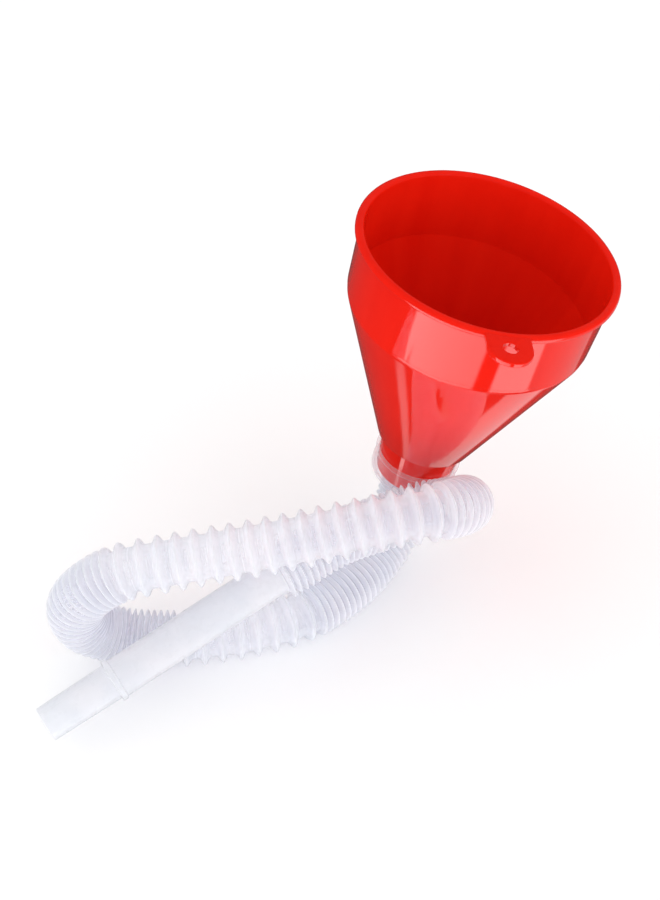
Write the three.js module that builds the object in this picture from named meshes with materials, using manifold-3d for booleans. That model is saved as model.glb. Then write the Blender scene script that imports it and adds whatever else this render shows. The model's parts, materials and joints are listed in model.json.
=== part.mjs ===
// A workshop filling funnel with a flexible spout hose, in millimetres, +Z up.
//
// The funnel is one moulding: rim bead, upright band, cone, stub and hang tab. The hose is one long
// bellows tube that grips the stub with a cuff and ends in a smooth stepped spout. The hose lies in a
// loose coil on the surface z = 0 and carries the funnel, which leans a little towards +X.
//
// The hose bends and stretches anywhere along its length. Here it is a chain of short sections with a
// gap at each joint, and each section's group sits inside the group of the section before it, so
// turning a group about its own origin bends the hose there.
import * as THREE from "three";
import { mergeVertices } from "three/addons/utils/BufferGeometryUtils.js";
import Module from "manifold-3d";

// Funnel. Heights are along its axis, from the lower end of the hose's cuff.
const MOUTH_RADIUS = 72.5;
const RIM_TOP = 172;
const BEAD_HEIGHT = 4;
const BEAD_EASE = 1.2;
const BEAD_INNER_EASE = 1;
const BAND_TOP_RADIUS = 69.8;
const BAND_FOOT_RADIUS = 68.4;
const BAND_FOOT = 131;
const SHOULDER_RADIUS = 8;
const CONE_FOOT_RADIUS = 28.3;
const CONE_FOOT = 36.4;
const CONE_FOOT_EASE = 1.5;
const STUB_TOP_RADIUS = 24.4;
const STUB_RADIUS_AT_CUFF_TOP = 23.2;
const STUB_END_RADIUS = 21.6;
const STUB_END = 8;
const FUNNEL_WALL = 2;
const LEAN = THREE.MathUtils.degToRad(12.2);

// Hang tab: a flat lug on the rim, with its rounded end and its hole on one centre.
const TAB_REACH = 80;
const TAB_RADIUS = 12;
const TAB_HOLE_RADIUS = 4;
const TAB_THICKNESS = 3;
const TAB_BELOW_RIM = 0.5;
const TAB_ROOT_RADIUS = 70.4;
const TAB_AZIMUTH = THREE.MathUtils.degToRad(-87);

// Hose. The ridges stand on the root, and the bore runs through all of it.
const RIDGE_RADIUS = 16.2;
const ROOT_RADIUS = 12.3;
const BORE_RADIUS = 11.3;
const CLOSED_PITCH = 5.6;
const OPEN_PITCH = 9.6;
const CUFF_TOP = 22.4;
const CUFF_RADIUS = 25.3;
const CUFF_WALL = 1.6;
const CUFF_CLEARANCE = 0.4;
const CUFF_FOOT_RADIUS = 20.3;
const CUFF_FOOT_HEIGHT = 2;
const CUFF_BELLY_FROM = 6;
const CUFF_BELLY = 11;
const CUFF_WAIST = 18;
const CUFF_WAIST_RADIUS = 24.3;
const LIP_HEIGHT = 2;
const PIPE_RADIUS = 11.3;
const PIPE_WALL = 1;
const COLLAR_LENGTH = 5;
const STEP_RING_RADIUS = 12.3;
const STEP_RING_WIDTH = 3;
const NOZZLE_RADIUS = 9.9;
const NOZZLE_LENGTH = 42;
const NOZZLE_WALL = 1.3;
const NOZZLE_TAPER = 0.5;
const RING_EASE = 1;

// Gaps between sections. A turning joint needs room for its two root edges to close up.
const SPARE_GAP = 0.4;
const STILL_GAP = 0.4;

// Facets round the axis.
const FUNNEL_FACETS = 36;
const HOSE_FACETS = 12;
const PIPE_FACETS = 16;
const SHOULDER_STEPS = 3;
const TAB_ARC_STEPS = 10;
const LONGEST_BORE_FACET = 9;

const point = (x, y, z) => new THREE.Vector3(x, y, z);

// Centre line of the bellows, from the cuff's lower end, round the coil, to the start of the smooth pipe.
// The first and last points lie beyond its ends, and make it leave along the funnel and the spout.
const CUFF_FOOT = point(0, 0, 50);
const PIPE_START = point(-74, -83, 58);
const SPOUT_TIP = point(-201, -161, 21);
const FUNNEL_AXIS = point(Math.sin(LEAN), 0, Math.cos(LEAN));
const SPOUT_HEADING = SPOUT_TIP.clone().sub(PIPE_START).normalize();
const LEAD_IN = 18;
const LEAD_OUT = 30;
const ROUTE = [
  CUFF_FOOT.clone().addScaledVector(FUNNEL_AXIS, LEAD_IN),
  CUFF_FOOT,
  // neck, which turns from the funnel's axis to lie on the surface
  point(-5, -6, 34),
  point(-11, -21, 23),
  point(-21, -37, 18),
  point(-38, -59, 17),
  point(-67, -82, 17),
  // lower run
  point(-120, -97, 17),
  point(-143, -98, 17),
  // left bend, an upright half turn
  point(-168, -98, 20),
  point(-185, -102, 33),
  point(-188, -105, 53),
  point(-178, -106, 69),
  point(-162, -104, 79),
  // upper run
  point(-143, -102, 83),
  point(-78, -94, 91),
  point(-10, -85, 102),
  // right bend, a half turn down and back
  point(14, -78, 101),
  point(24, -70, 96),
  point(27, -60, 88),
  point(24, -52, 79),
  point(14, -46, 71),
  point(0, -45, 67),
  // return run
  point(-19, -52, 64),
  point(-41, -63, 65),
  PIPE_START,
  PIPE_START.clone().addScaledVector(SPOUT_HEADING, LEAD_OUT),
];
const STEPS_PER_POINT = 80;

// Sections of hose in order. At a section's own start, turn is the bend in degrees that the joint would
// have room for if the hose were straight, and slide is its room to close up in mm. A section with neither
// is fixed to the one before.
const SECTIONS = [
  ...run("neck", 5, 90, { turn: 12 }),
  ...run("lower_run", 3, 115, { turn: 12 }, { 2: { slide: 5 } }),
  ...run("left_bend", 6, 115, { turn: 9 }, { 1: { turn: 12 } }),
  ...run("upper_run", 4, 135, { turn: 9 }, { 2: { slide: 3 }, 3: { slide: 3 }, 4: {} }),
  ...run("right_bend", 7, 118, {}, { 7: { turn: 20 } }),
  ...run("return_run", 2, 66, { turn: 20 }),
];
const SPOUT_JOINT = { slide: 7 };
const STRETCHED = ["lower_run", "upper_run"];

const RED_PLASTIC = { color: 0xdf1a10, roughness: 0.28, metalness: 0 };
const MILKY_PLASTIC = { color: 0xe6e4ee, roughness: 0.45, metalness: 0 };

// count sections that share length mm of hose; own replaces the usual joint for some of them.
function run(strand, count, length, usual, own = {}) {
  return Array.from({ length: count }, (_, i) => ({
    name: `${strand}_${i + 1}`,
    strand,
    length: length / count,
    joint: own[i + 1] ?? usual,
  }));
}

function gapAt(joint) {
  if (joint.turn) {
    const half = THREE.MathUtils.degToRad(joint.turn / 2);
    return 2 * ROOT_RADIUS * Math.tan(half) + SPARE_GAP;
  }
  return joint.slide ? joint.slide + SPARE_GAP : STILL_GAP;
}

// A closed (radius, height) outline turned about +Z.
function revolve(outline, facets) {
  const points = outline.map(([r, z]) => new THREE.Vector2(r, z));
  const solid = new THREE.LatheGeometry([...points, points[0]], facets);
  return solid.rotateX(Math.PI / 2);
}

function named(name, geometry, finish) {
  const mesh = new THREE.Mesh(geometry, new THREE.MeshStandardMaterial(finish));
  mesh.name = name;
  return mesh;
}

// A corner of an outline eased by a curve between the two points where a fillet would touch.
function easedCorner([r0, z0], [rc, zc], [r1, z1], radius, steps) {
  const into = new THREE.Vector2(rc - r0, zc - z0).normalize();
  const out = new THREE.Vector2(r1 - rc, z1 - zc).normalize();
  const bend = Math.acos(into.dot(out));
  const reach = radius * Math.tan(bend / 2);
  const corner = new THREE.Vector2(rc, zc);
  const start = corner.clone().addScaledVector(into, -reach);
  const end = corner.clone().addScaledVector(out, reach);
  const curve = new THREE.QuadraticBezierCurve(start, corner, end);
  return curve.getPoints(steps).map((p) => [p.x, p.y]);
}

function funnelOutline() {
  const outer = easedCorner(
    [CONE_FOOT_RADIUS, CONE_FOOT],
    [BAND_FOOT_RADIUS, BAND_FOOT],
    [BAND_TOP_RADIUS, RIM_TOP - BEAD_HEIGHT],
    SHOULDER_RADIUS,
    SHOULDER_STEPS,
  );
  const inner = easedCorner(
    [BAND_TOP_RADIUS - FUNNEL_WALL, RIM_TOP - BEAD_HEIGHT],
    [BAND_FOOT_RADIUS - FUNNEL_WALL, BAND_FOOT],
    [CONE_FOOT_RADIUS - FUNNEL_WALL, CONE_FOOT],
    SHOULDER_RADIUS,
    SHOULDER_STEPS,
  );
  const stubTop = CONE_FOOT - 2 * CONE_FOOT_EASE;
  const beadFoot = RIM_TOP - BEAD_HEIGHT;
  return [
    [STUB_END_RADIUS - FUNNEL_WALL, STUB_END],
    [STUB_END_RADIUS, STUB_END],
    [STUB_RADIUS_AT_CUFF_TOP, CUFF_TOP],
    [STUB_TOP_RADIUS, stubTop],
    [CONE_FOOT_RADIUS - CONE_FOOT_EASE, CONE_FOOT - CONE_FOOT_EASE],
    [CONE_FOOT_RADIUS, CONE_FOOT],
    ...outer,
    [BAND_TOP_RADIUS, beadFoot],
    [MOUTH_RADIUS - BEAD_EASE, beadFoot],
    [MOUTH_RADIUS, beadFoot + BEAD_EASE],
    [MOUTH_RADIUS, RIM_TOP - BEAD_EASE],
    [MOUTH_RADIUS - BEAD_EASE, RIM_TOP],
    [BAND_TOP_RADIUS - FUNNEL_WALL + BEAD_INNER_EASE, RIM_TOP],
    [BAND_TOP_RADIUS - FUNNEL_WALL, RIM_TOP - BEAD_INNER_EASE],
    ...inner,
    [CONE_FOOT_RADIUS - FUNNEL_WALL, CONE_FOOT],
    [STUB_TOP_RADIUS - FUNNEL_WALL, stubTop],
  ];
}

// The lug starts inside the rim bead and ends in a half round about its hole.
function hangTab() {
  const lug = new THREE.Shape();
  lug.moveTo(TAB_ROOT_RADIUS, -TAB_RADIUS);
  lug.lineTo(TAB_REACH, -TAB_RADIUS);
  lug.absarc(TAB_REACH, 0, TAB_RADIUS, -Math.PI / 2, Math.PI / 2, false);
  lug.lineTo(TAB_ROOT_RADIUS, TAB_RADIUS);
  lug.closePath();
  const hole = new THREE.Path();
  hole.absarc(TAB_REACH, 0, TAB_HOLE_RADIUS, 0, 2 * Math.PI, true);
  lug.holes.push(hole);
  const plate = new THREE.ExtrudeGeometry(lug, {
    depth: TAB_THICKNESS,
    bevelEnabled: false,
    curveSegments: TAB_ARC_STEPS,
  });
  const top = RIM_TOP - TAB_BELOW_RIM;
  return plate.translate(0, 0, top - TAB_THICKNESS).rotateZ(TAB_AZIMUTH);
}

// Geometry to solid and back, for the one join that the funnel needs.
function toSolid(wasm, geometry) {
  const bare = geometry.clone();
  bare.deleteAttribute("normal");
  bare.deleteAttribute("uv");
  const merged = mergeVertices(bare);
  return new wasm.Manifold(
    new wasm.Mesh({
      numProp: 3,
      vertProperties: new Float32Array(merged.attributes.position.array),
      triVerts: new Uint32Array(merged.index.array),
    }),
  );
}

function toGeometry(solid) {
  const mesh = solid.getMesh();
  const geometry = new THREE.BufferGeometry();
  geometry.setAttribute("position", new THREE.BufferAttribute(mesh.vertProperties, 3));
  geometry.setIndex(new THREE.BufferAttribute(mesh.triVerts, 1));
  geometry.computeVertexNormals();
  return geometry;
}

// A flared lip at the top, a soft belly, and a foot that draws in to the first root of the bellows.
function cuffOutline(footGap) {
  return [
    [BORE_RADIUS, footGap],
    [ROOT_RADIUS, footGap],
    [CUFF_FOOT_RADIUS, CUFF_FOOT_HEIGHT],
    [CUFF_RADIUS, CUFF_BELLY_FROM],
    [CUFF_RADIUS, CUFF_BELLY],
    [CUFF_WAIST_RADIUS, CUFF_WAIST],
    [CUFF_RADIUS, CUFF_TOP - LIP_HEIGHT],
    [CUFF_RADIUS, CUFF_TOP],
    [STUB_RADIUS_AT_CUFF_TOP + CUFF_CLEARANCE, CUFF_TOP],
    [STUB_END_RADIUS + CUFF_CLEARANCE, STUB_END],
    [CUFF_FOOT_RADIUS - CUFF_WALL, CUFF_FOOT_HEIGHT + CUFF_WALL],
  ];
}

// Ridges along +Z between two heights, over a plain bore. Pulled-out ridges have flat lands between them.
function bellowsOutline(from, to, pitch) {
  const pulledOut = pitch > CLOSED_PITCH;
  const ridges = Math.max(1, Math.round((to - from) / pitch));
  const step = (to - from) / ridges;
  const flank = (pulledOut ? CLOSED_PITCH : step) / 2;
  const outer = [[ROOT_RADIUS, from]];
  for (let i = 0; i < ridges; i++) {
    const crest = from + (i + 0.5) * step;
    if (pulledOut) outer.push([ROOT_RADIUS, crest - flank]);
    outer.push([RIDGE_RADIUS, crest], [ROOT_RADIUS, crest + flank]);
  }
  if (pulledOut) outer.push([ROOT_RADIUS, to]);
  const boreSteps = Math.max(1, Math.round((to - from) / LONGEST_BORE_FACET));
  const bore = [];
  for (let i = 0; i <= boreSteps; i++) {
    bore.push([BORE_RADIUS, to + (i / boreSteps) * (from - to)]);
  }
  return [...outer, ...bore];
}

function spoutOutline(from, length) {
  const step = length - NOZZLE_LENGTH;
  const ringFoot = step - STEP_RING_WIDTH;
  return [
    [BORE_RADIUS, from],
    [ROOT_RADIUS, from],
    [PIPE_RADIUS, from + COLLAR_LENGTH],
    [PIPE_RADIUS, ringFoot],
    [STEP_RING_RADIUS, ringFoot + RING_EASE],
    [STEP_RING_RADIUS, step - RING_EASE],
    [NOZZLE_RADIUS + NOZZLE_TAPER, step + RING_EASE],
    [NOZZLE_RADIUS, length],
    [NOZZLE_RADIUS - NOZZLE_WALL, length],
    [NOZZLE_RADIUS + NOZZLE_TAPER - NOZZLE_WALL, step],
    [PIPE_RADIUS - PIPE_WALL, ringFoot],
    [PIPE_RADIUS - PIPE_WALL, from + COLLAR_LENGTH],
  ];
}

// The curve, and the distances along it at which the bellows start and end.
function hoseLine() {
  const curve = new THREE.CatmullRomCurve3(ROUTE, false, "centripetal");
  curve.arcLengthDivisions = STEPS_PER_POINT * (ROUTE.length - 1);
  const lengths = curve.getLengths();
  const start = lengths[STEPS_PER_POINT];
  const end = lengths[lengths.length - 1 - STEPS_PER_POINT];
  return { curve, start, end, total: lengths[lengths.length - 1] };
}

// Turns +Z to a direction.
function facing(direction) {
  return new THREE.Quaternion().setFromUnitVectors(point(0, 0, 1), direction);
}

// Where the hose is, and which way it runs, at a distance along the bellows.
function stationAt(line, distance) {
  const along = (line.start + distance) / line.total;
  return { at: line.curve.getPointAt(along), heading: line.curve.getTangentAt(along) };
}

// Bends a straight geometry on +Z to follow the hose from start, in the frame of that station.
function bendAlong(geometry, line, start) {
  const origin = stationAt(line, start);
  const upright = facing(origin.heading);
  const undo = upright.clone().invert();
  const position = geometry.attributes.position;
  const offset = new THREE.Vector3();
  for (let i = 0; i < position.count; i++) {
    const here = stationAt(line, start + position.getZ(i));
    const turn = new THREE.Quaternion().setFromUnitVectors(origin.heading, here.heading);
    offset.set(position.getX(i), position.getY(i), 0);
    offset.applyQuaternion(upright).applyQuaternion(turn);
    offset.add(here.at).sub(origin.at).applyQuaternion(undo);
    position.setXYZ(i, offset.x, offset.y, offset.z);
  }
  geometry.computeVertexNormals();
  return geometry;
}

// Adds a group inside parent, with its origin and +Z at a station given in the part's frame.
function addStation(parent, { at, heading }) {
  const group = new THREE.Group();
  const world = new THREE.Matrix4().compose(at, facing(heading), point(1, 1, 1));
  parent.updateWorldMatrix(true, false);
  group.applyMatrix4(parent.matrixWorld.clone().invert().multiply(world));
  parent.add(group);
  return group;
}

async function buildFunnel() {
  const wasm = await Module();
  wasm.setup();
  const cone = toSolid(wasm, revolve(funnelOutline(), FUNNEL_FACETS));
  const joined = cone.add(toSolid(wasm, hangTab()));
  return named("funnel_body", toGeometry(joined), RED_PLASTIC);
}

function buildHose(leaning) {
  const line = hoseLine();
  const shares = SECTIONS.reduce((sum, section) => sum + section.length, 0);
  const scale = (line.end - line.start) / shares;
  const cuff = revolve(cuffOutline(gapAt(SECTIONS[0].joint) / 2), FUNNEL_FACETS);
  leaning.add(named("hose_cuff", cuff, MILKY_PLASTIC));
  let parent = leaning;
  let start = 0;
  SECTIONS.forEach((section, i) => {
    const next = SECTIONS[i + 1]?.joint ?? SPOUT_JOINT;
    const from = gapAt(section.joint) / 2;
    const length = section.length * scale;
    const to = length - gapAt(next) / 2;
    const pitch = STRETCHED.includes(section.strand) ? OPEN_PITCH : CLOSED_PITCH;
    const straight = revolve(bellowsOutline(from, to, pitch), HOSE_FACETS);
    const joint = addStation(parent, stationAt(line, start));
    joint.add(named(section.name, bendAlong(straight, line, start), MILKY_PLASTIC));
    parent = joint;
    start += length;
  });
  const spoutLength = PIPE_START.distanceTo(SPOUT_TIP);
  const joint = addStation(parent, { at: PIPE_START, heading: SPOUT_HEADING });
  const spout = revolve(spoutOutline(gapAt(SPOUT_JOINT) / 2, spoutLength), PIPE_FACETS);
  joint.add(named("spout", spout, MILKY_PLASTIC));
}

const part = new THREE.Group();
const leaning = new THREE.Group();
leaning.position.copy(CUFF_FOOT);
leaning.rotation.y = LEAN;
part.add(leaning);
leaning.add(await buildFunnel());
buildHose(leaning);

// The part's origin is the middle of the lower face of its bounding box.
part.updateMatrixWorld(true);
const box = new THREE.Box3().setFromObject(part, true);
const centre = box.getCenter(new THREE.Vector3());
for (const child of part.children) child.position.sub(point(centre.x, centre.y, box.min.z));

export default part;
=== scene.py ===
import cmath
import json
import math

import bmesh
import bpy
import numpy as np
from mathutils import Matrix, Vector

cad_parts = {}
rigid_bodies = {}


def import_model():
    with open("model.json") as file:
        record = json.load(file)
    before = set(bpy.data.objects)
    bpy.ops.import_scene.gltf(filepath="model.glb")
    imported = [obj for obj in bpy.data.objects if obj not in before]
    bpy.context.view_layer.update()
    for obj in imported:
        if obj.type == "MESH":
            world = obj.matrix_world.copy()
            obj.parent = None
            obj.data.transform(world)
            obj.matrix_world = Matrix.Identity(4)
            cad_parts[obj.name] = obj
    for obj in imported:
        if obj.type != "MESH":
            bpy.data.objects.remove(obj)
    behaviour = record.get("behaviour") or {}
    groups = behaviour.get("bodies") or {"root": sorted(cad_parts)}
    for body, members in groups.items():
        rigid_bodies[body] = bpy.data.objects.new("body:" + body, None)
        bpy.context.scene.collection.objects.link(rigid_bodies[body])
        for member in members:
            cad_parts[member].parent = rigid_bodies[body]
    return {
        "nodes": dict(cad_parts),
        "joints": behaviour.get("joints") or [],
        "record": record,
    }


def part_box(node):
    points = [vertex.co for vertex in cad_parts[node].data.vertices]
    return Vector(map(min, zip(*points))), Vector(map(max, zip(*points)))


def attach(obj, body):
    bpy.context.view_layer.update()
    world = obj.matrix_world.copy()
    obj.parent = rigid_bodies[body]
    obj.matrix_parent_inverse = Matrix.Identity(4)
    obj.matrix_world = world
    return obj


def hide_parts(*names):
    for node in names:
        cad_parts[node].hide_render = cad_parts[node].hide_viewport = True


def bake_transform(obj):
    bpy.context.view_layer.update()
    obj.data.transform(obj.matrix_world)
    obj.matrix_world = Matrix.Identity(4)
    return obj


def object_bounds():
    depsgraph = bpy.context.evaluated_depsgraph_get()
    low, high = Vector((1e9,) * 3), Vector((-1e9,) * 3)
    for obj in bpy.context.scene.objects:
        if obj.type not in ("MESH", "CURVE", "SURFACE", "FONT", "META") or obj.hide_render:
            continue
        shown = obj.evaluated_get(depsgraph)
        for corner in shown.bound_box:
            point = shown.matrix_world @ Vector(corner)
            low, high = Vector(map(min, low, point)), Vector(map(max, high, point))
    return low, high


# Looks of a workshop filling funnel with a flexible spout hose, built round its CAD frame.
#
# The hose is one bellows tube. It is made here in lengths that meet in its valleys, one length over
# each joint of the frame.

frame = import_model()
cad_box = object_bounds()
bodies = frame["record"]["behaviour"]["bodies"]

MM = 0.001

# Tolerances for reading the CAD meshes, in m, and the fewest points that make a ring face.
SAME_POINT = 1e-6
SAME_PLANE = 2e-5
SAME_PLACE = 1e-4
RING_POINTS = 20

# Funnel, in mm. Heights run up its axis from the lower end of the hose's cuff.
BEAD_HEIGHT = 4.0
BEAD_OVERHANG = 2.7
BAND_TAPER = 1.4
BAND_FOOT = 131.0
BAND_LEDGE = 0.35
LEDGE_HEIGHT = 2.0
SHOULDER_RADIUS = 7.0
CONE_FOOT = 36.4
CONE_FOOT_RADIUS = 28.3
STEP_SIZE = 1.5
STUB_TOP_RADIUS = 24.4
STUB_END = 8.0
STUB_END_RADIUS = 22.2
FUNNEL_WALL = 2.0

# Hang tab, in mm from the funnel's axis.
TAB_REACH = 80.0
TAB_RADIUS = 12.0
TAB_HOLE_RADIUS = 4.0
TAB_THICKNESS = 3.0
TAB_DROP = 0.5
TAB_EDGE = 0.7
TAB_ARC_STEPS = 40
TAB_ROOT_STEPS = 12
TAB_AZIMUTH = math.radians(-87)

# Cuff, in mm from its lower end.
CUFF_TOP = 22.4
CUFF_RADIUS = 25.3
CUFF_WAIST = 0.9
CUFF_BELLY = (6.5, 12.5)
CUFF_HEEL = 3.6
CUFF_HEEL_HEIGHT = 3.0
LIP_HEIGHT = 2.6
LIP_OVERHANG = 0.2
LIP_WIDTH = 1.7
CUFF_WALL = 1.0

# Bellows, in mm. A ridge keeps its width, so pulled-out ridges have flat lands between them.
CREST_RADIUS = 16.2
ROOT_RADIUS = 12.3
HOSE_WALL = 0.9
CLOSED_PITCH = 3.9
OPEN_PITCH = 10.0
TIGHT_PITCH = 3.5
RIDGE_HALF_WIDTH = 3.5
UNEVENNESS = 0.05
UNEVEN_PHASE = 2.4

# Where the ridges change pitch, as (strand, share of its length, pitch from there on).
PITCH_CHANGES = (
    ("neck", 0.0, CLOSED_PITCH),
    ("lower_run", 0.2, OPEN_PITCH),
    ("lower_run", 0.9, CLOSED_PITCH),
    ("left_bend", 0.88, OPEN_PITCH),
    ("right_bend", 0.24, TIGHT_PITCH),
    ("right_bend", 0.9, CLOSED_PITCH),
)

# Spout, in mm.
PIPE_RADIUS = 11.3
PIPE_WALL = 1.0
COLLAR_LENGTH = 5.0
RING_RADIUS = 12.3
RING_WIDTH = 3.0
NOZZLE_RADIUS = 9.9
NOZZLE_LENGTH = 42.0
NOZZLE_WALL = 1.3
NOZZLE_TAPER = 0.5

# How far a length of hose may reach from its joint, in mm, and how much of a section it claims.
REACH = {"hinge": 11.0, "slide": 45.0}
CLAIM = {"hinge": 1.0, "slide": 2.0}
SEAM_MARGIN = 0.3

# The reach of a seam's end ring is capped at this share of its length, and a bend may squeeze or spread a
# ridge's width this far.
MOST_RIGID_SHARE = 0.4
RIDGE_SQUEEZE = (0.35, 2.5)

# Mesh density.
FUNNEL_SEGMENTS = 144
HOSE_SEGMENTS = 48
RINGS_PER_RIDGE = 10
RIDGE_SPAN = 1.2
END_FLAT = 0.05 * MM
LINE_STEPS = 24
LINE_STEP = 0.25 * MM
HEADING_SPAN = 3 * MM
BEND_SPAN = 12 * MM
FILLET_STEPS = 5
SHARP_EDGE = math.radians(38)

# Milky plastic, by part: its opacity face on and edge on, and its brightness face on and edge on; the darker
# edge brightness is painted shade.
MILK = {
    "bellows": (0.2, 0.88, 0.96, 0.86),
    "cuff": (0.05, 0.5, 1.0, 0.85),
    "spout": (0.6, 0.97, 0.93, 0.66),
}
CREST_OPACITY = 0.4
CREST_POINTINESS = (0.51, 0.6)
TRANSLUCENT_SHARE = 0.45

# Camera.
CAMERA_AIM = Vector((1.8, 19.9, 98.3)) * MM
CAMERA_ELEVATION = math.radians(43.5)
CAMERA_DISTANCE = 850 * MM
CAMERA_LENS = 60


# --- reading the frame ---------------------------------------------------------------------------


def flat_rings(node):
    """The flat ring faces of a CAD tube, as (centre, outward normal)."""
    mesh = bmesh.new()
    mesh.from_mesh(frame["nodes"][node].data)
    bmesh.ops.remove_doubles(mesh, verts=mesh.verts, dist=SAME_POINT)
    points = np.array([v.co for v in mesh.verts])
    rings = []
    for face in mesh.faces:
        normal = np.array(face.normal)
        middle = np.array(face.calc_center_median())
        level = np.abs((points - middle) @ normal) < SAME_PLANE
        if level.sum() < RING_POINTS:
            continue
        centre = points[level].mean(axis=0)
        if all(np.linalg.norm(centre - known) > SAME_PLACE for known, _ in rings):
            rings.append((centre, normal))
    mesh.free()
    return [(Vector(centre), Vector(normal)) for centre, normal in rings]


def hose_chain():
    """The hose's bodies in order from the cuff, each with the type of the joint at its start."""
    chain = [("cuff", None)]
    while True:
        ahead = [j for j in frame["joints"] if j["parent"] == chain[-1][0]]
        if not ahead:
            return chain
        chain.append((ahead[0]["child"], ahead[0]["type"]))


def nearest(rings, place):
    return min(rings, key=lambda ring: (ring[0] - place).length)


class HoseLine:
    """The hose's centre line by distance from the cuff, with a frame that doesn't twist."""

    def __init__(self, knots):
        points = []
        for (p0, h0), (p1, h1) in zip(knots, knots[1:]):
            reach = (p1 - p0).length
            for step in range(LINE_STEPS):
                t = step / LINE_STEPS
                points.append(
                    p0 * (1 + 2 * t) * (1 - t) ** 2
                    + h0 * reach * t * (1 - t) ** 2
                    + p1 * t * t * (3 - 2 * t)
                    + h1 * reach * t * t * (t - 1)
                )
        points.append(knots[-1][0])
        raw = np.array(points)
        gaps = np.linalg.norm(np.diff(raw, axis=0), axis=1)
        travelled = np.concatenate([[0], np.cumsum(gaps)])
        self.length = travelled[-1]
        self.along = np.linspace(0, self.length, round(self.length / LINE_STEP))
        self.points = np.array([np.interp(self.along, travelled, column) for column in raw.T]).T
        self.heading = self._smooth(np.gradient(self.points, self.along, axis=0), HEADING_SPAN)
        self.heading /= np.linalg.norm(self.heading, axis=1)[:, None]
        self.bend = self._smooth(np.gradient(self.heading, self.along, axis=0), BEND_SPAN)
        side = Vector(self.heading[0]).orthogonal().normalized()
        sides = [side]
        for before, after in zip(self.heading, self.heading[1:]):
            side = Vector(before).rotation_difference(Vector(after)) @ side
            sides.append(side)
        self.side = np.array(sides)

    @staticmethod
    def _smooth(values, span):
        """Averages each column over a span of the line."""
        count = 2 * round(span / LINE_STEP / 2) + 1
        padded = np.pad(values, ((count, count), (0, 0)), mode="edge")
        smoothed = [np.convolve(column, np.ones(count) / count, mode="same") for column in padded.T]
        return np.array(smoothed).T[count:-count]

    def _read(self, table, distance):
        return np.array([np.interp(distance, self.along, column) for column in table.T])

    def at(self, distance):
        return self._read(self.points, distance)

    def cross_section(self, distance):
        """Centre, two unit vectors across the hose, and the curvature, at a distance."""
        heading = self._read(self.heading, distance)
        side = self._read(self.side, distance)
        side -= heading * (side @ heading) / (heading @ heading)
        side /= np.linalg.norm(side)
        up = np.cross(heading, side)
        up /= np.linalg.norm(up)
        return self.at(distance), side, up, self._read(self.bend, distance)

    def distance_of(self, place):
        """The distance at which the line passes nearest to a place."""
        gaps = np.linalg.norm(self.points - np.array(place), axis=1)
        return self.along[gaps.argmin()]


def read_hose():
    """The centre line, and each section's start and end distances by node."""
    nodes = [node for body, _ in hose_chain() for node in bodies[body]]
    knots, ends = [], {}
    place, out = nearest(flat_rings(nodes[0]), frame_middle(nodes[1]))
    knots.append((place, out))
    for node in nodes[1:]:
        rings = flat_rings(node)
        near = nearest(rings, place)
        knots.append((near[0], -near[1]))
        ends[node] = [near[0]]
        if node == nodes[-1]:
            break
        far = max(rings, key=lambda ring: (ring[0] - near[0]).length)
        knots.append(far)
        place = far[0]
        ends[node].append(place)
    line = HoseLine(knots)
    spans = {node: [line.distance_of(place) for place in places] for node, places in ends.items()}
    return line, spans


def frame_middle(node):
    low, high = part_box(node)
    return (low + high) / 2


def funnel_place():
    """The funnel's axes as a matrix, with its origin at the cuff's lower end, and its rim height in mm."""
    rings = flat_rings("hose_cuff")
    foot = nearest(rings, frame_middle("neck_1"))[0]
    lip = max(rings, key=lambda ring: (ring[0] - foot).length)
    axis = lip[1].normalized()
    across = Vector((0, 1, 0)).cross(axis).normalized()
    turn = Matrix((across, axis.cross(across), axis)).transposed().to_4x4()
    origin = lip[0] - axis * CUFF_TOP * MM
    place = Matrix.Translation(origin) @ turn
    local = [place.inverted() @ v.co for v in frame["nodes"]["funnel_body"].data.vertices]
    rim_top = max(p.z for p in local) / MM
    mouth = max(math.hypot(p.x, p.y) for p in local if p.y > 0) / MM
    return place, rim_top, mouth


# --- mesh building -------------------------------------------------------------------------------


def rounded(corners, steps=FILLET_STEPS):
    """(radius, height, fillet) corners of a closed outline, with each fillet as an arc."""
    points = []
    for i, (radius, height, fillet) in enumerate(corners):
        corner = complex(radius, height)
        if not fillet:
            points.append((radius, height))
            continue
        back = complex(*corners[i - 1][:2]) - corner
        ahead = complex(*corners[(i + 1) % len(corners)][:2]) - corner
        back /= abs(back)
        ahead /= abs(ahead)
        half = abs(cmath.phase(ahead / back)) / 2
        middle = (back + ahead) / abs(back + ahead)
        centre = corner + middle * fillet / math.sin(half)
        first = corner + back * fillet / math.tan(half) - centre
        last = corner + ahead * fillet / math.tan(half) - centre
        turn = cmath.phase(last / first)
        for step in range(steps + 1):
            arc = centre + first * cmath.exp(1j * turn * step / steps)
            points.append((arc.real, arc.imag))
    return points


def ring_mesh(name, rings, heights):
    """A closed mesh through rings of points, whose last ring joins its first."""
    count, around = len(rings), len(rings[0])
    points = np.array(rings).reshape(-1, 3)
    faces = []
    places = []
    for i in range(count):
        i_next = (i + 1) % count
        for j in range(around):
            j_next = (j + 1) % around
            faces.append((i * around + j, i * around + j_next, i_next * around + j_next, i_next * around + j))
            left, right = j / around, (j + 1) / around
            places += [(left, heights[i]), (right, heights[i])]
            places += [(right, heights[i_next]), (left, heights[i_next])]
    mesh = bpy.data.meshes.new(name)
    mesh.from_pydata([tuple(p) for p in points], [], faces)
    layer = mesh.uv_layers.new(name="surface")
    layer.data.foreach_set("uv", np.array(places, np.float32).ravel())
    tidy(mesh)
    piece = bpy.data.objects.new(name, mesh)
    bpy.context.scene.collection.objects.link(piece)
    return piece


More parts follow.
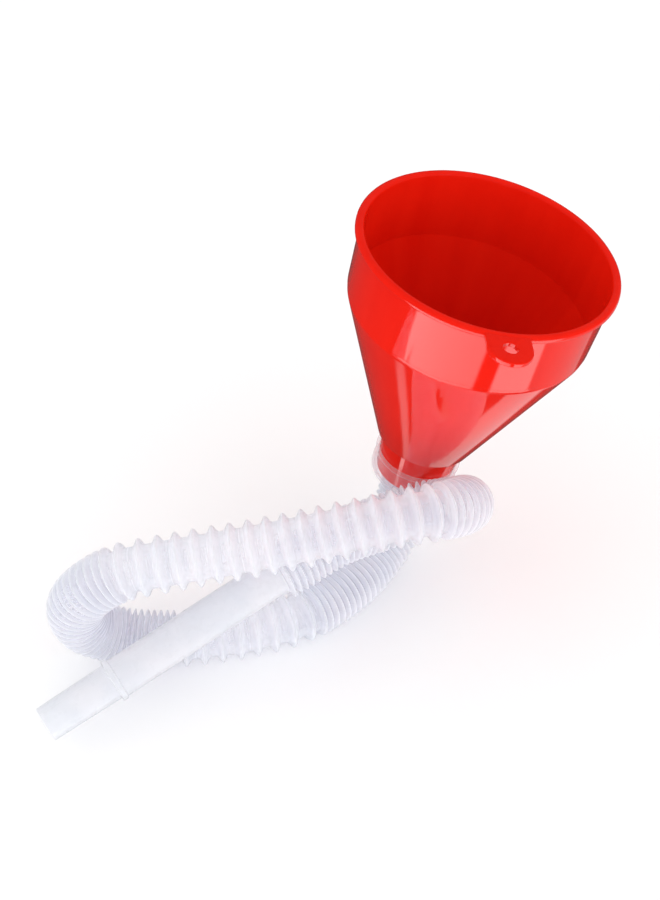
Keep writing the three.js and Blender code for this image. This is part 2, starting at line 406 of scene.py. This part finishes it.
def tidy(mesh):
    """Turns every face outwards and shades it smooth, apart from the sharp edges."""
    work = bmesh.new()
    work.from_mesh(mesh)
    bmesh.ops.recalc_face_normals(work, faces=work.faces)
    work.to_mesh(mesh)
    work.free()
    mesh.polygons.foreach_set("use_smooth", [True] * len(mesh.polygons))
    mesh.set_sharp_from_angle(angle=SHARP_EDGE)


def lathe(name, outline, place, segments):
    """A closed (radius, height) outline in mm, turned about the Z axis of place."""
    rings = []
    for radius, height in outline:
        ring = []
        for step in range(segments):
            angle = 2 * math.pi * step / segments
            local = Vector((radius * math.cos(angle), radius * math.sin(angle), height))
            ring.append(place @ (local * MM))
        rings.append(ring)
    return ring_mesh(name, rings, [height * MM for _, height in outline])


# --- funnel --------------------------------------------------------------------------------------


def funnel_outline(rim_top, mouth):
    band_top = mouth - BEAD_OVERHANG
    band_foot = band_top - BAND_TAPER
    bead_foot = rim_top - BEAD_HEIGHT
    step_foot = CONE_FOOT - 2 * STEP_SIZE
    wall = FUNNEL_WALL
    return rounded(
        [
            (STUB_END_RADIUS - wall, STUB_END, 0.5),
            (STUB_END_RADIUS, STUB_END, 0.8),
            (STUB_TOP_RADIUS, step_foot, 1.0),
            (CONE_FOOT_RADIUS, CONE_FOOT, STEP_SIZE),
            (band_foot - BAND_LEDGE, BAND_FOOT, SHOULDER_RADIUS),
            (band_foot - BAND_LEDGE, BAND_FOOT + LEDGE_HEIGHT, 0.15),
            (band_foot, BAND_FOOT + LEDGE_HEIGHT + BAND_LEDGE, 0.2),
            (band_top, bead_foot, 0.8),
            (mouth, bead_foot, 1.2),
            (mouth, rim_top, 2.2),
            (band_top - wall, rim_top, 2.2),
            (band_foot - wall, BAND_FOOT, SHOULDER_RADIUS / 2),
            (CONE_FOOT_RADIUS - wall, CONE_FOOT, 3.0),
            (STUB_TOP_RADIUS - wall, step_foot, 1.5),
        ]
    )


def tab_mesh(place, rim_top, root):
    """The hang tab as a plate with rounded edges, its straight root inside the rim bead."""
    outline = []
    for angle in np.linspace(-math.pi / 2, math.pi / 2, TAB_ARC_STEPS + 1):
        outline.append((TAB_RADIUS * math.cos(angle), TAB_RADIUS * math.sin(angle)))
    for side in np.linspace(TAB_RADIUS, -TAB_RADIUS, TAB_ROOT_STEPS + 1):
        outline.append((root - TAB_REACH, side))
    centre = Vector((TAB_REACH, 0, rim_top - TAB_DROP - TAB_THICKNESS / 2))
    turn = place @ Matrix.Rotation(TAB_AZIMUTH, 4, "Z")
    edge = []
    for angle in np.linspace(math.pi / 2, 0, FILLET_STEPS):
        edge.append((TAB_EDGE * (1 - math.cos(angle)), TAB_THICKNESS / 2 - TAB_EDGE * (1 - math.sin(angle))))
    edge += [(inset, -height) for inset, height in reversed(edge)]
    rings = []
    for inset, height in edge:
        ring = []
        for x, y in outline:
            away = Vector((max(x, 0), y, 0)).normalized()
            ring.append(turn @ ((centre + Vector((x, y, height)) - away * inset) * MM))
        rings.append(ring)
    for inset, height in reversed(edge):
        ring = []
        for x, y in outline:
            away = Vector((x, y, 0)).normalized()
            ring.append(turn @ ((centre + away * (TAB_HOLE_RADIUS + inset) + Vector((0, 0, height))) * MM))
        rings.append(ring)
    return ring_mesh("tab", rings, [0.0] * len(rings))


def apply_union(piece, other):
    """Joins another closed mesh into piece."""
    modifier = piece.modifiers.new("join", "BOOLEAN")
    modifier.operation = "UNION"
    modifier.solver = "EXACT"
    modifier.object = other
    graph = bpy.context.evaluated_depsgraph_get()
    joined = bpy.data.meshes.new_from_object(piece.evaluated_get(graph))
    piece.modifiers.clear()
    piece.data = joined
    bpy.data.objects.remove(other)
    tidy(piece.data)


def build_funnel(place, rim_top, mouth):
    funnel = lathe("funnel", funnel_outline(rim_top, mouth), place, FUNNEL_SEGMENTS)
    apply_union(funnel, tab_mesh(place, rim_top, mouth - BEAD_OVERHANG))
    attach(funnel, "funnel")
    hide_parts("funnel_body")
    funnel.data.materials.clear()
    funnel.data.materials.append(red_plastic())


# --- hose ----------------------------------------------------------------------------------------


def cuff_outline(foot):
    """A rolled lip, a soft waist under it, a full belly, and a foot at the first root."""
    lip = CUFF_RADIUS + LIP_OVERHANG
    waist = CUFF_RADIUS - CUFF_WAIST
    wall = CUFF_WALL
    belly_low, belly_high = CUFF_BELLY
    return rounded(
        [
            (ROOT_RADIUS - HOSE_WALL, foot, 0),
            (ROOT_RADIUS, foot, 0),
            (ROOT_RADIUS, foot + 0.9, 0.5),
            (CUFF_RADIUS - CUFF_HEEL, CUFF_HEEL_HEIGHT, 2.0),
            (CUFF_RADIUS, belly_low, 4.0),
            (CUFF_RADIUS, belly_high, 6.0),
            (waist, CUFF_TOP - LIP_HEIGHT, 0.9),
            (lip, CUFF_TOP - LIP_HEIGHT + LIP_OVERHANG, 0.6),
            (lip, CUFF_TOP, 0.8),
            (lip - LIP_WIDTH, CUFF_TOP, 0.5),
            (waist - wall, CUFF_TOP - LIP_HEIGHT, 0.8),
            (CUFF_RADIUS - wall, belly_high, 5.0),
            (CUFF_RADIUS - wall, belly_low + 0.3, 3.0),
            (CUFF_RADIUS - wall - CUFF_HEEL, CUFF_HEEL_HEIGHT + wall, 2.0),
            (ROOT_RADIUS - HOSE_WALL, foot + 1.9, 0.5),
        ]
    )


def spout_outline(length):
    step = length - NOZZLE_LENGTH
    ring_foot = step - RING_WIDTH
    bore = PIPE_RADIUS - PIPE_WALL
    tip_bore = NOZZLE_RADIUS - NOZZLE_WALL
    return rounded(
        [
            (ROOT_RADIUS - HOSE_WALL, 0, 0),
            (ROOT_RADIUS, 0, 0),
            (ROOT_RADIUS, 1.2, 1.0),
            (PIPE_RADIUS, COLLAR_LENGTH, 2.0),
            (PIPE_RADIUS, ring_foot, 0.5),
            (RING_RADIUS, ring_foot, 0.6),
            (RING_RADIUS, step, 0.8),
            (NOZZLE_RADIUS + NOZZLE_TAPER, step + 0.5, 0.5),
            (NOZZLE_RADIUS, length, 0.4),
            (tip_bore, length, 0.4),
            (tip_bore + NOZZLE_TAPER, step, 1.0),
            (bore, ring_foot, 1.0),
            (bore, COLLAR_LENGTH, 2.0),
            (ROOT_RADIUS - HOSE_WALL, 1.2, 0.6),
        ]
    )


def strand_spans(spans):
    """Start and end distance of each strand, from the sections that carry its name."""
    strands = {}
    for node, ends in spans.items():
        strand = node.rsplit("_", 1)[0]
        start, end = strands.get(strand, (ends[0], ends[-1]))
        strands[strand] = (min(start, ends[0]), max(end, ends[-1]))
    return strands


def place_ridges(line, spans, spout_start):
    """Crest distances and valley distances along the hose, in metres."""
    strands = strand_spans(spans)
    edges = []
    for strand, share, pitch in PITCH_CHANGES:
        start, end = strands[strand]
        edges.append((start + share * (end - start), pitch))
    edges[0] = (0.0, edges[0][1])
    edges.append((spout_start, None))
    crests, valleys = [], [0.0]
    for (start, pitch), (end, _) in zip(edges, edges[1:]):
        count = round((end - start) / (pitch * MM))
        step = (end - start) / count
        for i in range(count):
            number = len(crests)
            drift = UNEVENNESS * step * math.sin(UNEVEN_PHASE * number) * (i < count - 1)
            valleys.append(start + (i + 1) * step + drift)
            crests.append((valleys[-2] + valleys[-1]) / 2)
    return np.array(crests), np.array(valleys)


class Bellows:
    """The hose's surface: a ring of points at any distance along it."""

    def __init__(self, line, crests, valleys):
        self.line = line
        self.crests = crests
        self.valleys = valleys
        angles = 2 * math.pi * np.arange(HOSE_SEGMENTS) / HOSE_SEGMENTS
        self.across = np.stack([np.cos(angles), np.sin(angles)])

    def ring(self, distance, wall=0.0):
        centre, side, up, bend = self.line.cross_section(distance)
        directions = np.outer(self.across[0], side) + np.outer(self.across[1], up)
        stretch = np.clip(1 - (directions @ bend) * CREST_RADIUS * MM, *RIDGE_SQUEEZE)
        number = np.clip(np.searchsorted(self.valleys, distance) - 1, 0, len(self.crests) - 1)
        crest = self.crests[number]
        room = (self.valleys[number + 1] - self.valleys[number]) / 2
        half_width = np.minimum(room, RIDGE_HALF_WIDTH * MM / stretch)
        phase = np.clip(abs(distance - crest) / half_width, 0, 1)
        rise = 0.5 + 0.5 * np.cos(math.pi * phase)
        radius = (ROOT_RADIUS + (CREST_RADIUS - ROOT_RADIUS) * rise - wall) * MM
        return centre + directions * radius[:, None]

    def length(self, name, start, end):
        """A closed length of hose between two valleys."""
        inside = self.valleys[(self.valleys > start - SAME_POINT) & (self.valleys < end + SAME_POINT)]
        distances = [start]
        for low, high in zip(inside, inside[1:]):
            middle, half = (low + high) / 2, (high - low) / 2
            near = min(half, RIDGE_SPAN * RIDGE_HALF_WIDTH * MM)
            steps = np.linspace(-near, near, RINGS_PER_RIDGE + 1)
            distances += [middle + step for step in steps[1:-1]]
            if near < half:
                distances += [middle - near, middle + near]
            distances.append(high)
        distances += [start + END_FLAT, end - END_FLAT]
        distances = sorted(set(distances))
        outer = [self.ring(d) for d in distances]
        inner = [self.ring(d, HOSE_WALL) for d in reversed(distances)]
        return ring_mesh(name, outer + inner, distances + distances[::-1])

    def valley_near(self, distance):
        return self.valleys[np.abs(self.valleys - distance).argmin()]


def seams(chain, joint_places, bellows, spout_start):
    """For each body, the distances at which its share of the hose starts and ends."""
    found = {"cuff": (0.0, 0.0), chain[-1][0]: (spout_start, spout_start)}
    for i in range(1, len(chain) - 1):
        name, kind = chain[i]
        next_kind = chain[i + 1][1]
        start, end = joint_places[i], joint_places[i + 1]
        share = CLAIM[kind] / (CLAIM[kind] + CLAIM[next_kind])
        cut = start + share * (end - start)
        early = bellows.valley_near(min(cut, start + REACH[kind] * MM))
        late = bellows.valley_near(max(cut, end - REACH[next_kind] * MM))
        if late - early < 2 * OPEN_PITCH * MM:
            early = late = bellows.valley_near(cut)
        found[name] = (early, late)
    return found


def blend_over(piece, line, start, end):
    """Works out how far each end ring reaches along the length's chord, and bakes the length's place into its
    mesh.
    """
    first, last = Vector(line.at(start)), Vector(line.at(end))
    chord = last - first
    low, high = (end_ring_reach(line, distance, chord) for distance in (start, end))
    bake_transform(piece)


def end_ring_reach(line, distance, chord):
    """How far the tilted ring at a distance reaches along the chord, up to a share of the chord."""
    heading = Vector(line.heading[np.abs(line.along - distance).argmin()])
    reach = ROOT_RADIUS * MM * math.sin(heading.angle(chord)) + SEAM_MARGIN * MM
    return min(reach, MOST_RIGID_SHARE * chord.length)


def build_hose(place):
    """The bellows with its cuff and spout, each in its own density of milky plastic."""
    chain = hose_chain()
    line, spans = read_hose()
    spout_start = line.length
    crests, valleys = place_ridges(line, spans, spout_start)
    bellows = Bellows(line, crests, valleys)
    joint_places = [0.0]
    behind = 0.0
    for body, _ in chain[1:]:
        ends = [spans[node] for node in bodies[body]]
        joint_places.append((behind + ends[0][0]) / 2)
        behind = ends[-1][-1]
    parts = seams(chain, joint_places, bellows, spout_start)
    pieces = []
    for (before, _), (body, _) in zip(chain, chain[1:]):
        start, end = parts[before][1], parts[body][0]
        piece = bellows.length(f"hose_{body}" if body != "spout" else "hose_end", start, end)
        blend_over(piece, line, start, end)
        pieces.append(piece)
        if body != "spout":
            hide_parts(*bodies[body])
        if parts[body][1] > parts[body][0]:
            coil = bellows.length(f"hose_{body}_coil", *parts[body])
            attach(coil, body)
            pieces.append(coil)
    for part, made in (("bellows", pieces), ("cuff", [build_cuff(place)]), ("spout", [build_spout()])):
        material = milky_plastic(f"milky_plastic_{part}", *MILK[part])
        for piece in made:
            piece.data.materials.append(material)


def build_cuff(place):
    foot_ring = nearest(flat_rings("hose_cuff"), frame_middle("neck_1"))[0]
    foot = (place.inverted() @ foot_ring).z / MM
    cuff = lathe("cuff", cuff_outline(foot), place, FUNNEL_SEGMENTS)
    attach(cuff, "cuff")
    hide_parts("hose_cuff")
    return cuff


def build_spout():
    rings = flat_rings("spout")
    start = nearest(rings, frame_middle("return_run_2"))
    tip = max(rings, key=lambda ring: (ring[0] - start[0]).length)
    axis = tip[0] - start[0]
    turn = axis.to_track_quat("Z", "Y").to_matrix().to_4x4()
    place = Matrix.Translation(start[0]) @ turn
    spout = lathe("spout_pipe", spout_outline(axis.length / MM), place, HOSE_SEGMENTS * 2)
    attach(spout, "spout")
    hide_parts("spout")
    return spout


# --- materials -----------------------------------------------------------------------------------


class Nodes:
    """Short calls for building a node tree."""

    def __init__(self, tree):
        self.tree = tree
        tree.nodes.clear()

    def add(self, kind, inputs=None, **settings):
        node = self.tree.nodes.new(kind)
        for key, value in settings.items():
            setattr(node, key, value)
        for key, value in (inputs or {}).items():
            if isinstance(value, bpy.types.NodeSocket):
                self.tree.links.new(value, node.inputs[key])
            else:
                node.inputs[key].default_value = value
        return node

    def math(self, operation, a, b=0.0, clamp=False):
        node = self.add("ShaderNodeMath", {0: a, 1: b}, operation=operation, use_clamp=clamp)
        return node.outputs[0]

    def noise(self, vector, scale, detail=2.0, roughness=0.5):
        inputs = {"Vector": vector, "Scale": scale, "Detail": detail, "Roughness": roughness}
        return self.add("ShaderNodeTexNoise", inputs).outputs["Fac"]

    def remap(self, value, low, high, to_low=0.0, to_high=1.0, smooth=False):
        kind = "SMOOTHSTEP" if smooth else "LINEAR"
        inputs = {0: value, 1: low, 2: high, 3: to_low, 4: to_high}
        return self.add("ShaderNodeMapRange", inputs, interpolation_type=kind).outputs[0]

    def mix_colour(self, share, a, b):
        inputs = {0: share, 6: a, 7: b}
        return self.add("ShaderNodeMix", inputs, data_type="RGBA").outputs[2]

    def mix_shader(self, share, a, b):
        return self.add("ShaderNodeMixShader", {0: share, 1: a, 2: b}).outputs[0]


def new_material(name):
    material = bpy.data.materials.new(name)
    material.use_nodes = True
    return material, Nodes(material.node_tree)


def red_plastic():
    """Glossy injection-moulded polypropylene, with faint flow streaks down the cone."""
    material, n = new_material("red_plastic")
    place = n.add("ShaderNodeTexCoord").outputs["Object"]
    surface = n.add("ShaderNodeUVMap", uv_map="surface").outputs[0]
    stretched = n.add("ShaderNodeMapping", {"Vector": surface, "Scale": (24, 6, 1)}).outputs[0]
    streaks = n.noise(stretched, 1.0, 3.0)
    clouds = n.noise(place, 18.0, 2.0)
    tone = n.math("ADD", n.math("MULTIPLY", streaks, 0.5), n.math("MULTIPLY", clouds, 0.5))
    colour = n.mix_colour(n.remap(tone, 0.35, 0.65), (0.72, 0.008, 0.002, 1), (0.80, 0.013, 0.004, 1))
    gloss = n.remap(n.noise(place, 140.0, 4.0), 0.3, 0.7, 0.04, 0.08)
    peel = n.noise(place, 420.0, 2.0)
    waves = n.noise(place, 45.0, 1.0)
    height = n.math("ADD", n.math("MULTIPLY", peel, 0.12), waves)
    bump = n.add("ShaderNodeBump", {"Strength": 0.05, "Distance": 0.0006, "Height": height})
    inputs = {
        "Base Color": colour,
        "Roughness": gloss,
        "IOR": 1.5,
        "Normal": bump.outputs[0],
        "Coat Weight": 0.2,
        "Coat Roughness": 0.06,
    }
    shader = n.add("ShaderNodeBsdfPrincipled", inputs).outputs[0]
    n.add("ShaderNodeOutputMaterial", {"Surface": shader})
    return material


def milky_plastic(name, face_on, edge_on, bright, painted_edge_shade_brightness):
    """Thin natural polyethylene: milky, see-through face on, and denser towards its edges, where its colour
    is also darkened as painted shade.
    """
    material, n = new_material(name)
    place = n.add("ShaderNodeTexCoord").outputs["Object"]
    surface = n.add("ShaderNodeUVMap", uv_map="surface").outputs[0]
    clouds = n.noise(place, 38.0, 3.0)
    fine = n.noise(place, 260.0, 3.0)
    colour = n.mix_colour(n.remap(clouds, 0.35, 0.65), (0.93, 0.945, 0.975, 1), (0.97, 0.965, 0.985, 1))
    around = n.add("ShaderNodeSeparateXYZ", {0: surface}).outputs[0]
    half_turn = n.math("ABSOLUTE", n.math("SUBTRACT", n.math("FRACT", n.math("MULTIPLY", around, 2.0)), 0.5))
    parting = n.remap(half_turn, 0.0, 0.012, 1.0, 0.0, smooth=True)
    height = n.math("ADD", n.math("MULTIPLY", fine, 0.25), parting)
    bump = n.add("ShaderNodeBump", {"Strength": 0.25, "Distance": 0.0002, "Height": height}).outputs[0]
    rough = n.remap(fine, 0.3, 0.7, 0.24, 0.36)
    facing = n.add("ShaderNodeLayerWeight", {"Blend": 0.35, "Normal": bump}).outputs["Facing"]
    # Painted shade: the colour is darkened towards the outlines, where the surface turns away from the view.
    painted_edge_shade_factor = n.remap(facing, 0.6, 1.0, bright, painted_edge_shade_brightness, smooth=True)
    colour = n.add("ShaderNodeVectorMath", {0: colour, "Scale": painted_edge_shade_factor}, operation="SCALE").outputs[0]
    inputs = {"Base Color": colour, "Roughness": rough, "IOR": 1.5, "Normal": bump}
    skin = n.add("ShaderNodeBsdfPrincipled", inputs).outputs[0]
    glow = n.add("ShaderNodeBsdfTranslucent", {"Color": colour, "Normal": bump}).outputs[0]
    milk = n.mix_shader(TRANSLUCENT_SHARE, skin, glow)
    clear = n.add("ShaderNodeBsdfTransparent", {"Color": (0.99, 0.99, 1.0, 1)}).outputs[0]
    pointiness = n.add("ShaderNodeNewGeometry").outputs["Pointiness"]
    crest = n.remap(pointiness, *CREST_POINTINESS, 0.0, CREST_OPACITY)
    thickness = n.math("ADD", n.remap(clouds, 0.3, 0.7, -0.04, 0.04), crest)
    opacity = n.math("ADD", n.remap(facing, 0.0, 1.0, face_on, edge_on), thickness, clamp=True)
    n.add("ShaderNodeOutputMaterial", {"Surface": n.mix_shader(opacity, clear, milk)})
    return material


def floor_material():
    material, n = new_material("pale_floor")
    place = n.add("ShaderNodeTexCoord").outputs["Object"]
    shade = n.remap(n.noise(place, 3.0), 0.3, 0.7)
    colour = n.mix_colour(shade, (0.93, 0.93, 0.93, 1), (0.95, 0.95, 0.95, 1))
    shader = n.add("ShaderNodeBsdfPrincipled", {"Base Color": colour, "Roughness": 0.9}).outputs[0]
    n.add("ShaderNodeOutputMaterial", {"Surface": shader})
    return material


# --- studio --------------------------------------------------------------------------------------

# Softboxes seen only in reflections, in degrees: (azimuth from, to, elevation from, to, brightness
# where it starts, and where it ends). Azimuth 0 points from the object towards the camera's side, and
# grows to the right.
SOFTBOXES = (
    (-68, 0, -58, -12, 3.3, 2.0),
    (18, 64, -60, -12, 2.6, 1.9),
    (64, 140, -60, -12, 0.35, 0.35),
    (-107, -98, -90, -58, 0.7, 0.7),
    (-58, 60, -90, -66, 0.5, 0.35),
    (100, 150, -90, -60, 0.8, 0.8),
)
SOFTBOX_EDGE = 2.0
DARK_STUDIO = 0.08

# Light of the room's walls and of its ceiling.
WALL_LIGHT = 1.2
CEILING_LIGHT = 0.88

# Lamps round the object: (name, place in m, width in m, power in W).
LAMPS = (
    ("key", (-1.0, -0.2, 0.9), 1.2, 1.5),
    ("front", (-0.4, -1.4, 0.25), 1.3, 8.0),
    ("right", (1.1, -0.6, 0.4), 1.2, 4.0),
    ("back", (0.2, 1.1, 1.0), 1.0, 1.5),
)

# Floor, in m.
FLOOR_HALF_WIDTH = 4.0
FLOOR_GAP = 0.0002

# Light has to cross many walls of the hose before it comes out again.
TRANSPARENT_BOUNCES = 32
MOST_BOUNCES = 24
SCATTER_BOUNCES = 16


def build_world():
    world = bpy.data.worlds.new("studio")
    bpy.context.scene.world = world
    world.use_nodes = True
    n = Nodes(world.node_tree)
    ray = n.add("ShaderNodeTexCoord").outputs["Generated"]
    x, y, z = n.add("ShaderNodeSeparateXYZ", {0: ray}).outputs
    azimuth = n.math("DEGREES", n.math("ARCTAN2", x, n.math("MULTIPLY", y, -1.0)))
    elevation = n.math("DEGREES", n.math("ARCSINE", z))
    total = DARK_STUDIO
    for az_from, az_to, el_from, el_to, bright_from, bright_to in SOFTBOXES:
        mask = n.remap(azimuth, az_from, az_to, bright_from, bright_to)
        for value, low, high in ((azimuth, az_from, az_to), (elevation, el_from, el_to)):
            rising = n.remap(value, low - SOFTBOX_EDGE, low + SOFTBOX_EDGE, smooth=True)
            falling = n.remap(value, high - SOFTBOX_EDGE, high + SOFTBOX_EDGE, 1.0, 0.0, smooth=True)
            mask = n.math("MULTIPLY", mask, n.math("MULTIPLY", rising, falling))
        total = n.math("ADD", total, mask)
    boxes = n.add("ShaderNodeBackground", {"Color": (1, 1, 1, 1), "Strength": total}).outputs[0]
    room = n.remap(z, 0.0, 1.0, WALL_LIGHT, CEILING_LIGHT)
    plain = n.add("ShaderNodeBackground", {"Color": (1, 1, 1, 1), "Strength": room}).outputs[0]
    glossy = n.add("ShaderNodeLightPath").outputs["Is Glossy Ray"]
    n.add("ShaderNodeOutputWorld", {"Surface": n.mix_shader(glossy, plain, boxes)})


def add_lamp(name, place, width, power, target):
    light = bpy.data.lights.new(name, "AREA")
    light.size = width
    light.energy = power
    lamp = bpy.data.objects.new(name, light)
    lamp.location = place
    lamp.rotation_euler = (Vector(place) - target).to_track_quat("Z", "Y").to_euler()
    lamp.visible_camera = False
    lamp.visible_glossy = False
    bpy.context.scene.collection.objects.link(lamp)


def build_floor(height):
    half = FLOOR_HALF_WIDTH
    corners = [(-half, -half), (half, -half), (half, half), (-half, half)]
    mesh = bpy.data.meshes.new("floor")
    mesh.from_pydata([(x, y, height) for x, y in corners], [], [(0, 1, 2, 3)])
    floor = bpy.data.objects.new("floor", mesh)
    bpy.context.scene.collection.objects.link(floor)
    mesh.materials.append(floor_material())
    floor.visible_glossy = False


def build_studio():
    low, high = (Vector(corner) for corner in cad_box)
    build_floor(low.z - FLOOR_GAP)
    for name, place, width, power in LAMPS:
        add_lamp(name, place, width, power, (low + high) / 2)
    build_world()
    scene = bpy.context.scene
    scene.view_settings.view_transform = "Standard"
    scene.cycles.transparent_max_bounces = TRANSPARENT_BOUNCES
    scene.cycles.max_bounces = MOST_BOUNCES
    scene.cycles.diffuse_bounces = SCATTER_BOUNCES
    scene.cycles.transmission_bounces = SCATTER_BOUNCES


def build_camera():
    data = bpy.data.cameras.new("camera")
    data.lens = CAMERA_LENS
    camera = bpy.data.objects.new("camera", data)
    sight = Vector((0, math.cos(CAMERA_ELEVATION), -math.sin(CAMERA_ELEVATION)))
    camera.location = CAMERA_AIM - sight * CAMERA_DISTANCE
    camera.rotation_euler = (-sight).to_track_quat("Z", "Y").to_euler()
    bpy.context.scene.collection.objects.link(camera)
    bpy.context.scene.camera = camera


place, rim_top, mouth = funnel_place()
build_funnel(place, rim_top, mouth)
build_hose(place)
build_studio()
build_camera()
